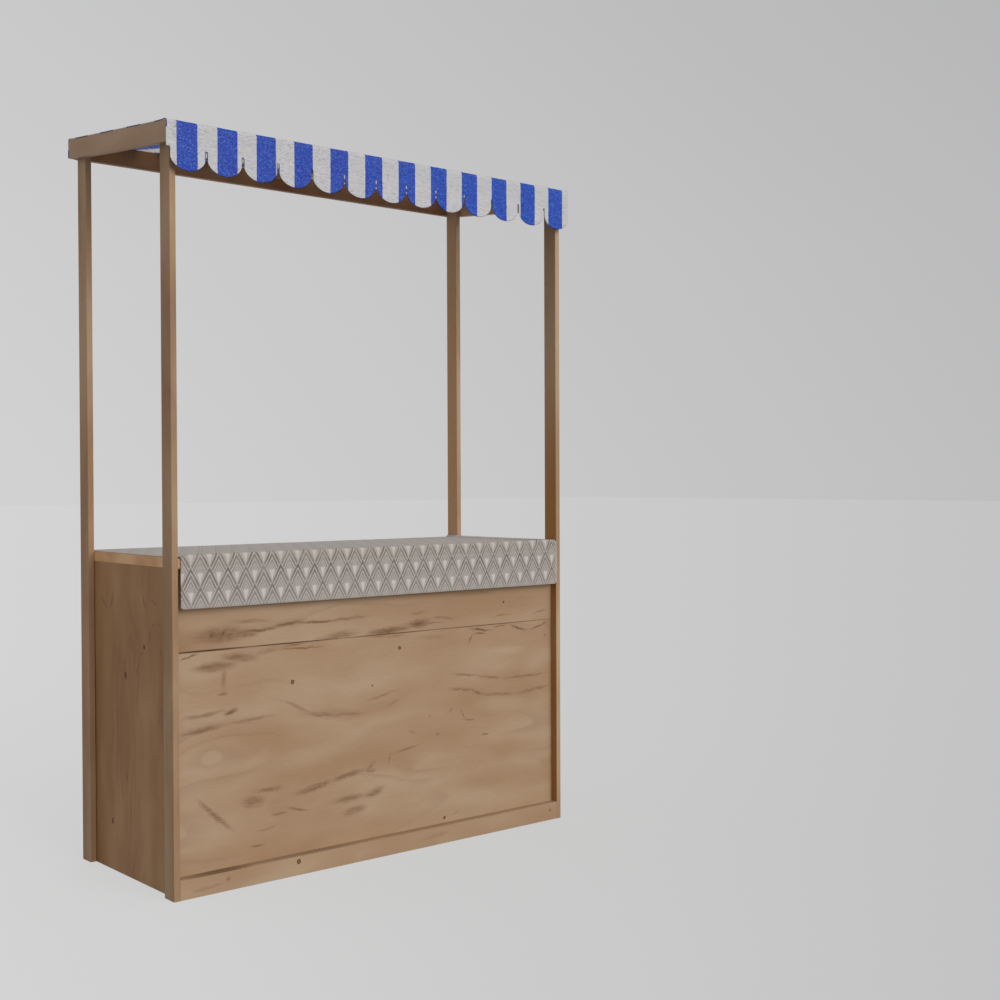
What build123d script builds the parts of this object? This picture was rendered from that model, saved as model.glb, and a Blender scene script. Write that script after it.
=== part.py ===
from build123d import *
import os

# A wooden market stall: a box counter with a storage bay, and four posts that carry a sloping canopy frame
# under one cloth with a scalloped front. Millimetres, +Z up, origin on the ground in the middle of the plan.
# The customer stands on the -Y side and the seller on the +Y side, where the storage bay is open.

# plan and heights
stall_width = 1400.0
stall_depth = 570.0
front_height = 2058.0
roof_rise = 60.0
counter_height = 910.0
shelf_height = 469.0
seam_height = 656.0

# timber sections
post_width = 18.0
post_depth = 54.0
rail_height = 56.0
rail_thickness = 18.0
batten_width = 56.0
batten_thickness = 18.0
kick_height = 56.0
kick_thickness = 25.0
front_board_thickness = 27.0
side_board_thickness = 27.0
counter_thickness = 27.0
shelf_thickness = 32.0
shelf_setback = 78.0
post_arris = 1.5
board_arris = 1.0
rail_end_radius = 9.0

# canopy cloth
canopy_cloth_thickness = 3.0
valance_drop = 127.0
scallop_count = 13
scallop_depth = 40.0
scallop_shift = 6.0
slot_width = 5.0
slot_length = 20.0
back_hem_reveal = 3.0

# counter cloth
table_cloth_thickness = 6.0
table_cloth_gap = 2.0
front_drop = 136.0
back_drop = 73.0

# places worked out from the sizes
half_width = stall_width / 2
half_depth = stall_depth / 2
bay_half = half_width - post_width
canopy_half_width = half_width + rail_thickness
canopy_half_depth = half_depth + rail_thickness
counter_underside = counter_height - counter_thickness
kick_back = -half_depth + kick_thickness
front_board_back = kick_back + front_board_thickness
side_board_inner = bay_half - side_board_thickness


def roof_z(y):
    """Height of the sloping plane that the canopy cloth lies on."""
    return front_height + roof_rise * (y + canopy_half_depth) / (2 * canopy_half_depth)


def side_profile(points, x_low, x_high):
    """A board drawn in side view, as (y, z) points, and given its thickness along X."""
    outline = Plane.YZ.offset(x_low) * make_face(Polyline(*points, close=True))
    return extrude(outline, amount=x_high - x_low)


def block(x_low, x_high, y_low, y_high, z_low, z_high):
    """A square-cut board between two corners."""
    size = (x_high - x_low, y_high - y_low, z_high - z_low)
    centre = ((x_low + x_high) / 2, (y_low + y_high) / 2, (z_low + z_high) / 2)
    return Pos(*centre) * Box(*size)


def under_roof(y_low, y_high, z_low):
    """Side view of a piece whose top is cut to the roof slope."""
    return [(y_low, z_low), (y_high, z_low), (y_high, roof_z(y_high)), (y_low, roof_z(y_low))]


def make_post(side, row):
    """An upright on one side (-1 left, 1 right) and in one row (-1 front, 1 back)."""
    x_faces = sorted((side * half_width, side * bay_half))
    y_faces = sorted((row * half_depth, row * (half_depth - post_depth)))
    post = side_profile(under_roof(*y_faces, 0), *x_faces)
    return fillet(post.edges().filter_by(Axis.Z), post_arris)


def make_side_board(side):
    """The end wall of the counter, on the inner faces of the posts."""
    x_faces = sorted((side * bay_half, side * side_board_inner))
    board = block(*x_faces, front_board_back, half_depth, 0, counter_underside)
    back_edges = board.edges().filter_by(Axis.Z).group_by(Axis.Y)[-1]
    return fillet(back_edges, board_arris)


def make_front_board(z_low, z_high):
    """One of the two wide boards across the front, with eased edges where they meet."""
    board = block(-bay_half, bay_half, kick_back, front_board_back, z_low, z_high)
    return chamfer(board.edges().filter_by(Axis.X), board_arris)


def make_cross_rail(row):
    """A canopy rail along the front or back, screwed to the outsides of the posts."""
    y_faces = sorted((row * half_depth, row * canopy_half_depth))
    bottom = roof_z(row * canopy_half_depth) - rail_height
    return side_profile(under_roof(*y_faces, bottom), -half_width, half_width)


def make_side_rail(side):
    """A sloping canopy rail on the outsides of the posts, plumb at both ends, its back end rounded."""
    front, back = -canopy_half_depth, canopy_half_depth
    lower = [(front, roof_z(front) - rail_height), (back, roof_z(back) - rail_height)]
    upper = [(back, roof_z(back)), (front, roof_z(front))]
    x_faces = sorted((side * half_width, side * canopy_half_width))
    rail = side_profile(lower + upper, *x_faces)
    back_corners = rail.edges().filter_by(Axis.X).group_by(Axis.Y)[-1]
    return fillet(back_corners, rail_end_radius)


def make_batten():
    """The flat batten under the middle of the cloth, from front rail to back rail."""
    top = [(half_depth, roof_z(half_depth)), (-half_depth, roof_z(-half_depth))]
    lower = [(y, z - batten_thickness) for y, z in reversed(top)]
    batten = side_profile(lower + top, -batten_width / 2, batten_width / 2)
    long_edges = batten.edges().filter_by(Axis.Z, reverse=True).filter_by(Axis.X, reverse=True)
    return fillet(long_edges.group_by(Axis.X)[0] + long_edges.group_by(Axis.X)[-1], board_arris)


def make_roof_cloth():
    """The part of the canopy cloth that lies on the rails."""
    lower = [(y, roof_z(y)) for y in (-canopy_half_depth, canopy_half_depth)]
    upper = [(y, z + canopy_cloth_thickness) for y, z in reversed(lower)]
    return side_profile(lower + upper, -canopy_half_width, canopy_half_width)


def make_valance():
    """The front fall of the canopy cloth: a band cut into scallops by narrow slots."""
    top = front_height + canopy_cloth_thickness
    bottom = front_height - valance_drop
    flare = bottom + scallop_depth
    slot_top = flare + slot_length
    pitch = 2 * canopy_half_width / scallop_count
    lobe_width = pitch - slot_width
    fall = Pos(0, (top + slot_top) / 2) * Rectangle(2 * canopy_half_width, top - slot_top)
    for index in range(scallop_count):
        middle = -canopy_half_width + scallop_shift + (index + 0.5) * pitch
        fall += Pos(middle, (flare + slot_top) / 2) * Rectangle(lobe_width, slot_length)
        fall += Pos(middle, flare) * Ellipse(lobe_width / 2, scallop_depth)
    fall &= Pos(0, (top + bottom) / 2) * Rectangle(2 * canopy_half_width, top - bottom)
    return extrude(Plane.XZ.offset(canopy_half_depth) * fall, amount=canopy_cloth_thickness)


def make_back_hem():
    """The straight fall of the canopy cloth over the back rail, with the rail's lower edge left bare."""
    rail_top = roof_z(canopy_half_depth)
    low = rail_top - rail_height + back_hem_reveal
    high = rail_top + canopy_cloth_thickness
    y_outer = canopy_half_depth + canopy_cloth_thickness
    return block(-canopy_half_width, canopy_half_width, canopy_half_depth, y_outer, low, high)


def make_table_cloth(y_low, y_high, z_low, z_high):
    """One face of the counter cloth, stopped short of the posts."""
    reach = bay_half - table_cloth_gap
    return block(-reach, reach, y_low, y_high, z_low, z_high)


pieces = {}
for side_name, side in (("left", -1), ("right", 1)):
    for row_name, row in (("front", -1), ("back", 1)):
        pieces[f"post_{row_name}_{side_name}"] = make_post(side, row)
    pieces[f"side_board_{side_name}"] = make_side_board(side)
    pieces[f"canopy_rail_{side_name}"] = make_side_rail(side)

pieces["front_board_lower"] = make_front_board(0, seam_height)
pieces["front_board_upper"] = make_front_board(seam_height, counter_underside)

kick = block(-bay_half, bay_half, -half_depth, kick_back, 0, kick_height)
pieces["kick_rail"] = fillet(kick.edges().filter_by(Axis.X).group_by(Axis.Y)[0], board_arris)

counter = block(-bay_half, bay_half, -half_depth, half_depth, counter_underside, counter_height)
pieces["counter_top"] = fillet(counter.edges().filter_by(Axis.X), board_arris)

shelf_back = half_depth - shelf_setback
shelf = block(-side_board_inner, side_board_inner, front_board_back, shelf_back,
              shelf_height - shelf_thickness, shelf_height)
pieces["storage_shelf"] = fillet(shelf.edges().filter_by(Axis.X).group_by(Axis.Y)[-1], board_arris)

pieces["canopy_rail_front"] = make_cross_rail(-1)
pieces["canopy_rail_back"] = make_cross_rail(1)
pieces["canopy_batten"] = make_batten()

pieces["canopy_cloth_roof"] = make_roof_cloth()
pieces["canopy_cloth_valance"] = make_valance()
pieces["canopy_cloth_back_hem"] = make_back_hem()

cloth_top = counter_height + table_cloth_thickness
cloth_front = -half_depth - table_cloth_thickness
cloth_back = half_depth + table_cloth_thickness
pieces["counter_cloth_top"] = make_table_cloth(-half_depth, half_depth, counter_height, cloth_top)
pieces["counter_cloth_front"] = make_table_cloth(cloth_front, -half_depth, counter_height - front_drop, cloth_top)
pieces["counter_cloth_back"] = make_table_cloth(half_depth, cloth_back, counter_height - back_drop, cloth_top)

os.makedirs("parts", exist_ok=True)
for name, solid in pieces.items():
    export_step(solid, f"parts/{name}.step")
    print(name, len(solid.solids()), round(solid.volume / 1e6, 3), "litres")
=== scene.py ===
import bpy
import math
from functools import partial
from mathutils import Matrix, Vector, noise


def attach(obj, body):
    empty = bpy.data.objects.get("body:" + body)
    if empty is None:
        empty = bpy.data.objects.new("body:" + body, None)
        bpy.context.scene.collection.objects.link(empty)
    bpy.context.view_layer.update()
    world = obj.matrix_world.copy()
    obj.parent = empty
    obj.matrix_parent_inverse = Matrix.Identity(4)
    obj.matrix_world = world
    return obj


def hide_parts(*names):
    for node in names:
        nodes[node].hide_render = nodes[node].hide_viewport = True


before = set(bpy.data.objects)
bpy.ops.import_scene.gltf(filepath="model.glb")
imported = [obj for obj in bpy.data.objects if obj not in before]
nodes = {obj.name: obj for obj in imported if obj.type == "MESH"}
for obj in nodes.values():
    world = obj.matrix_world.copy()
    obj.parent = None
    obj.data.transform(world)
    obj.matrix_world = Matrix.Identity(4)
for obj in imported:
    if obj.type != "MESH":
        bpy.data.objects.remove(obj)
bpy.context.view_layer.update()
scene = bpy.context.scene
print("frame loaded:", len(nodes), "nodes")


def toLinear(code):
    channels = [int(code[i:i + 2], 16) / 255 for i in (1, 3, 5)]
    return [c / 12.92 if c <= 0.04045 else ((c + 0.055) / 1.055) ** 2.4 for c in channels] + [1.0]


mainSetting = {"Math": "operation", "VectorMath": "operation", "MapRange": "interpolation_type", "Mix": "data_type"}
# a mix of two colours: its factor and the colours, and the output that gives the result
mixInputs, mixOutput = (0, 6, 7), 2
noTint = (1.0, 1.0, 1.0, 1.0)
noiseMean = (0.5, 0.5, 0.5)


def addNode(tree, kind, settings=None, inputs=None, stops=None):
    # settings are the node's own properties, or the value of its main one; inputs are its sockets by name or place, or a
    # list in the sockets' order, and each is a value, a node or (node, output); stops are a ramp's places and colours
    node = tree.nodes.new(kind if kind.startswith(("Node", "Geometry")) else "ShaderNode" + kind)
    if isinstance(settings, str):
        settings = {mainSetting[kind]: settings}
    if isinstance(inputs, list):
        inputs = dict(zip(mixInputs if kind == "Mix" else range(len(inputs)), inputs))
    for key, value in (settings or {}).items():
        setattr(node, key, value)
    for key, value in (inputs or {}).items():
        if isinstance(value, bpy.types.Node):
            value = (value, mixOutput if value.bl_idname == "ShaderNodeMix" else 0)
        if isinstance(value, tuple) and isinstance(value[0], bpy.types.Node):
            tree.links.new(value[0].outputs[value[1]], node.inputs[key])
        else:
            node.inputs[key].default_value = value
    if stops:
        points = node.color_ramp.elements
        for point, (at, colour) in ((points[0], stops[0]), (points[-1], stops[-1])):
            point.position = at
            point.color = toLinear(colour)
        for at, colour in stops[1:-1]:
            points.new(at).color = toLinear(colour)
    return node


def emptyGroup(name, kind, inputs, outputs):
    # a node group, and the call that adds nodes to it
    group = bpy.data.node_groups.new(name, kind)
    for direction, sockets in (("INPUT", inputs), ("OUTPUT", outputs)):
        for label, socket in sockets.items():
            group.interface.new_socket(label, in_out=direction, socket_type="NodeSocket" + socket)
    return group, partial(addNode, group)


def emptyMaterial(name):
    # the material, and the call that adds nodes to it
    material = bpy.data.materials.new(name)
    material.use_nodes = True
    material.node_tree.nodes.clear()
    return material, partial(addNode, material.node_tree)


def meshPiece(name, verts, faces, material, uvs=None, thickness=None):
    mesh = bpy.data.meshes.new(name)
    mesh.from_pydata(verts, [], faces)
    if uvs:
        layer = mesh.uv_layers.new(name="cloth")
        for loop in mesh.loops:
            layer.data[loop.index].uv = uvs[loop.vertex_index]
    mesh.polygons.foreach_set("use_smooth", [True] * len(mesh.polygons))
    mesh.materials.append(material)
    mesh.update()
    piece = bpy.data.objects.new(name, mesh)
    scene.collection.objects.link(piece)
    if thickness:
        solid = piece.modifiers.new("thickness", "SOLIDIFY")
        solid.thickness = thickness
        solid.offset = 0.0
    return piece


def finishPiece(piece, slot, *replaced):
    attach(piece, "root")
    if replaced:
        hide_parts(*replaced)


def mix(a, b, t):
    return a + (b - a) * t


def ease(t):
    t = min(max(t, 0.0), 1.0)
    return t * t * (3 - 2 * t)


# camera, light and floor

view = {"place": (-2.42565, -3.62582, 1.11546), "turn": 40.629, "dip": 0.8295, "roll": 0.2038, "lens": 50.0}
studio = {"sunTurn": 8.0, "sunHeight": 21.0, "sunPower": 1.62, "sunSoftness": 38.0, "sky": 0.61,
          "wall": [(0.0, "#C6C6C6"), (0.16, "#C3C3C4"), (0.4, "#BBBBBC")], "leftGain": 1.13, "rightGain": 0.92,
          "floor": "#9C9C9C", "floorSeen": "#E3E3E3", "floorSeenShare": 0.65, "floorReach": 60.0, "floorLow": -0.0005}

turn, dip, roll = (math.radians(view[key]) for key in ("turn", "dip", "roll"))
ahead = Vector((math.sin(turn) * math.cos(dip), math.cos(turn) * math.cos(dip), -math.sin(dip)))
across = Vector((math.cos(turn), -math.sin(turn), 0.0))
upward = across.cross(ahead)
cameraX = across * math.cos(roll) - upward * math.sin(roll)
cameraY = across * math.sin(roll) + upward * math.cos(roll)
camera = bpy.data.objects.new("camera", bpy.data.cameras.new("camera"))
scene.collection.objects.link(camera)
camera.data.lens = view["lens"]
camera.data.sensor_width = 36.0
camera.data.clip_end = 200.0
camera.matrix_world = Matrix((cameraX, cameraY, -ahead)).transposed().to_4x4()
camera.location = view["place"]
scene.camera = camera

sun = bpy.data.objects.new("softKey", bpy.data.lights.new("softKey", "SUN"))
scene.collection.objects.link(sun)
sun.data.energy = studio["sunPower"]
sun.data.angle = math.radians(studio["sunSoftness"])
sunTurn, sunHeight = math.radians(studio["sunTurn"]), math.radians(studio["sunHeight"])
toSun = Vector((math.sin(sunTurn) * math.cos(sunHeight), -math.cos(sunTurn) * math.cos(sunHeight), math.sin(sunHeight)))
sun.rotation_euler = toSun.to_track_quat("Z", "Y").to_euler()


def leftToRight(add, source, seenFrom):
    # the studio is a little brighter on the left, as a fan of directions from the place in front of the stall
    away = add("VectorMath", "SUBTRACT", [source, seenFrom])
    level = add("VectorMath", "MULTIPLY", [away, (1.0, 1.0, 0.0)])
    unit = add("VectorMath", "NORMALIZE", [level])
    sideways = add("VectorMath", "DOT_PRODUCT", [unit, across])
    return add("MapRange", inputs=[(sideways, "Value"), -0.34, 0.34, studio["leftGain"], studio["rightGain"]])


def seenByEye(add):
    # one where the ray comes from the camera, a mirror or glass, so the pale studio shows there
    rays = add("LightPath")
    seen = add("Math", "MAXIMUM", [(rays, "Is Camera Ray"), (rays, "Is Glossy Ray")])
    return add("Math", "MAXIMUM", [seen, (rays, "Is Transmission Ray")])


world = bpy.data.worlds.new("paleStudio")
scene.world = world
world.use_nodes = True
world.node_tree.nodes.clear()
add = partial(addNode, world.node_tree)
direction = add("TexCoord")
heading = add("SeparateXYZ", inputs=[(direction, "Generated")])
wall = add("ValToRGB", inputs=[(heading, "Z")], stops=studio["wall"])
ambient = add("Background", inputs={"Color": (1, 1, 1, 1), "Strength": studio["sky"]})
gain = leftToRight(add, (direction, "Generated"), (0.0, 0.0, 0.0))
backdrop = add("Background", inputs={"Color": wall, "Strength": gain})
choice = add("MixShader", inputs=[seenByEye(add), ambient, backdrop])
add("OutputWorld", inputs=[choice])

floorMaterial, add = emptyMaterial("mattePaintedFloor")
bounce = add("BsdfDiffuse", inputs={"Color": toLinear(studio["floor"])})
floorPlace = add("TexCoord")
gain = leftToRight(add, (floorPlace, "Object"), view["place"])
glow = add("Emission", inputs={"Strength": gain, "Color": toLinear(studio["floorSeen"])})
pale = add("MixShader", inputs=[studio["floorSeenShare"], bounce, glow])
choice = add("MixShader", inputs=[seenByEye(add), bounce, pale])
add("OutputMaterial", inputs=[choice])
reach, low = studio["floorReach"], studio["floorLow"]
floorCorners = [(-reach, -reach, low), (reach, -reach, low), (reach, reach, low), (-reach, reach, low)]
floor = meshPiece("studioFloor", floorCorners, [(0, 1, 2, 3)], floorMaterial)
scene.view_settings.view_transform = "Standard"
print("camera, light and floor")


# the timber: knotty pine board, planed, sanded and oiled, so it is smooth and satin with soft brown figure

def makeFigureMark():
    # one knot, fleck or streak, or one patch of painted shade or painted light: an ellipse with a soft rim, turned in
    # the plane of the board
    inputs = {"Place": "Vector", "Centre": "Vector", "Radii": "Vector", "Turn": "Vector", "Strength": "Float",
              "Before": "Float"}
    group, add = emptyGroup("figureAndLightMark", "ShaderNodeTree", inputs, {"Dark": "Float"})
    entry = add("NodeGroupInput")
    away = add("VectorMath", "SUBTRACT", [(entry, "Place"), (entry, "Centre")])
    turned = add("VectorRotate", {"rotation_type": "EULER_XYZ"}, {"Vector": away, "Rotation": (entry, "Turn")})
    scaled = add("VectorMath", "DIVIDE", [turned, (entry, "Radii")])
    soft = add("MapRange", "SMOOTHSTEP", [(add("VectorMath", "LENGTH", [scaled]), "Value"), 1.15, 0.2])
    dark = add("Math", "MULTIPLY", [soft, (entry, "Strength")])
    most = add("Math", "MAXIMUM", [dark, (entry, "Before")])
    add("NodeGroupOutput", inputs={"Dark": most})
    return group


figureAndLightMark = makeFigureMark()

pine = {
    # pale, middle and brown tone of the board, then late wood, knots, their middles, open seams, and the colour of
    # stains and of painted shade
    "board": ("#AF9578", "#A88A6C", "#A18162"), "line": "#77573B", "knot": "#4B3220", "core": "#7A5A40",
    "seam": "#53381F", "stainAndShade": "#7C5A3C", "ringStrength": 0.2, "rings": 9.0, "knotSize": 0.055, "wildKnots": 0.0,
    # where the marks lie, how deep they go, and from where the inner side gets its painted warm bounce light
    "markFace": (0.0, 9.0), "innerFrom": None, "innerTone": (1.26, 1.00, 0.66, 1.0),
    # repeats per metre along and across the grain, and detail
    "noises": {"patches": (2.0, 8.0, 2.0), "rings": (0.8, 5.5, 1.0), "zones": (2.4, 7.0, 1.0),
               "wisps": (17.0, 160.0, 2.5)},
    "fibre": (30.0, 420.0),
}
grainTurn = {"X": (0.0, 0.0, 0.0), "Y": (0.0, 0.0, math.radians(-90)), "Z": (0.0, math.radians(90), 0.0)}


def oiledPine(name, grain, shift, toneSet, figure=None):
    # figure holds the marks on the faces of plane Y or X, each (along, height, half length, half height, degrees,
    # strength), in mm, and it may end with the place of its face and how deep it goes, in m
    look = dict(pine, **toneSets.get(toneSet, {}))
    figure = figure or {}
    light, body, brown = look["board"]
    material, add = emptyMaterial(name)
    board = (add("TexCoord"), "Object")
    turned = add("Mapping", inputs={"Vector": board, "Rotation": grainTurn[grain], "Location": shift})
    places = {"lines": board, "shades": board}
    # the grain drifts, streaks wander by some millimetres and the rims of knots by one or two
    for label, start, steps in (("grain", turned, ((2.4, 0.1, 0.16),)),
                                ("streaks", board, ((9.0, 0.01, 0.01), (42.0, 0.011, 0.011))),
                                ("knots", board, ((90.0, 0.004, 0.004),))):
        places[label] = start
        for scale, along, cross in steps:
            drift = add("TexNoise", inputs={"Vector": start, "Scale": scale, "Detail": 2.0})
            centred = add("VectorMath", "SUBTRACT", [(drift, "Color"), noiseMean])
            places[label] = add("VectorMath", "MULTIPLY_ADD", [centred, (along, cross, cross), places[label]])
    places["pale"] = places["stains"] = places["streaks"]
    grainNoise = {}
    for label, (along, cross, detail) in look["noises"].items():
        stretched = add("VectorMath", "MULTIPLY", [places["grain"], (along, cross, cross)])
        grainNoise[label] = add("TexNoise", inputs={"Vector": stretched, "Scale": 1.0, "Detail": detail})
    patches = add("ValToRGB", inputs=[grainNoise["patches"]], stops=[(0.34, brown), (0.5, body), (0.66, light)])
    # growth rings: each darkens slowly towards its late wood and stops short
    ring = add("Math", "FRACT", [add("Math", "MULTIPLY", [grainNoise["rings"], look["rings"]])])
    late = add("MapRange", "SMOOTHSTEP", [ring, 0.45, 1.0])
    cutOff = add("MapRange", "SMOOTHSTEP", [ring, 1.0, 0.93])
    where = add("MapRange", "SMOOTHSTEP", [grainNoise["zones"], 0.45, 0.66, 0.0, look["ringStrength"]])
    ringDark = add("Math", "MULTIPLY", [add("Math", "MULTIPLY", [late, cutOff]), where])
    colour = add("Mix", "RGBA", [ringDark, patches, toLinear(look["line"])])
    # small round knots scattered by chance
    fields = {}
    if look["wildKnots"] > 0:
        spread = add("VectorMath", "MULTIPLY", [places["grain"], (5.0, 8.0, 8.0)])
        cells = add("TexVoronoi", inputs={"Vector": spread, "Scale": 1.0})
        spots = add("MapRange", "SMOOTHSTEP", [cells, look["knotSize"], look["knotSize"] * 0.2])
        chosen = add("Math", "LESS_THAN", [add("SeparateColor", inputs=[(cells, "Color")]), look["wildKnots"]])
        fields["knots"] = add("Math", "MULTIPLY", [spots, chosen])
    # the marks that are listed
    onFront = figure.get("plane") != "X"
    for kind in ("streaks", "pale", "stains", "shades", "knots", "lines"):
        for along, height, halfLength, halfHeight, degrees, strength, *face in figure.get(kind, ()):
            angle = math.radians(degrees)
            at, deep = face or look["markFace"]
            along, height, halfLength, halfHeight = (size / 1000 for size in (along, height, halfLength, halfHeight))
            fields[kind] = add("Group", {"node_tree": figureAndLightMark}, {
                "Place": places[kind], "Before": fields.get(kind, 0.0), "Strength": strength,
                "Centre": (along, at, height) if onFront else (at, along, height),
                "Radii": (halfLength, deep, halfHeight) if onFront else (deep, halfLength, halfHeight),
                "Turn": (0.0, angle, 0.0) if onFront else (-angle, 0.0, 0.0)})
    # stains and the painted shade marks both take the stain colour
    for kind, tone in (("pale", light), ("stains", look["stainAndShade"]), ("shades", look["stainAndShade"])):
        if kind in fields:
            colour = add("Mix", "RGBA", [fields[kind], colour, toLinear(tone)])
    if "streaks" in fields:
        feather = add("MapRange", "SMOOTHSTEP", [grainNoise["wisps"], 0.36, 0.6, 0.5])
        feathered = add("Math", "MULTIPLY", [fields["streaks"], feather])
        colour = add("Mix", "RGBA", [feathered, colour, toLinear(look["line"])])
    if "knots" in fields:
        knotColour = add("ValToRGB", inputs=[fields["knots"]],
                         stops=[(0.0, look["line"]), (0.45, look["knot"]), (0.7, look["knot"]), (0.95, look["core"])])
        knotShare = add("MapRange", "SMOOTHSTEP", [fields["knots"], 0.08, 0.55, 0.0, 0.95])
        colour = add("Mix", "RGBA", [knotShare, colour, knotColour])
    if "lines" in fields:
        colour = add("Mix", "RGBA", [fields["lines"], colour, toLinear(look["seam"])])
    if look["innerFrom"] is not None:
        # the side that faces the storage bay is tinted warmer and yellower: painted warm bounce light inside the bay
        inner = add("Math", "GREATER_THAN", [(add("SeparateXYZ", inputs=[board]), "Y"), look["innerFrom"]])
        warm = add("Mix", "RGBA", [inner, noTint, look["innerTone"]])
        colour = add("Mix", {"data_type": "RGBA", "blend_type": "MULTIPLY"}, [1.0, colour, warm])
    # fibre, about 2.5 mm, drawn coarser than the real one so that it shows
    along, cross = look["fibre"]
    drawn = add("VectorMath", "MULTIPLY", [turned, (along, cross, cross)])
    fibre = add("TexNoise", inputs={"Vector": drawn, "Scale": 1.0, "Detail": 2.0})
    fibreTone = add("MapRange", inputs=[fibre, 0.3, 0.7, 0.965, 1.035])
    toned = add("VectorMath", "SCALE", {0: colour, "Scale": fibreTone})
    satin = add("MapRange", inputs=[grainNoise["patches"], 0.3, 0.7, 0.62, 0.52])
    relief = add("Bump", inputs={"Height": fibre, "Strength": 0.2, "Distance": 0.0004})
    shader = add("BsdfPrincipled", inputs={"Base Color": toned, "Roughness": satin, "Normal": relief, "IOR": 1.5,
                 "Specular IOR Level": 0.25})
    add("OutputMaterial", inputs=[shader])
    return material
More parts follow.
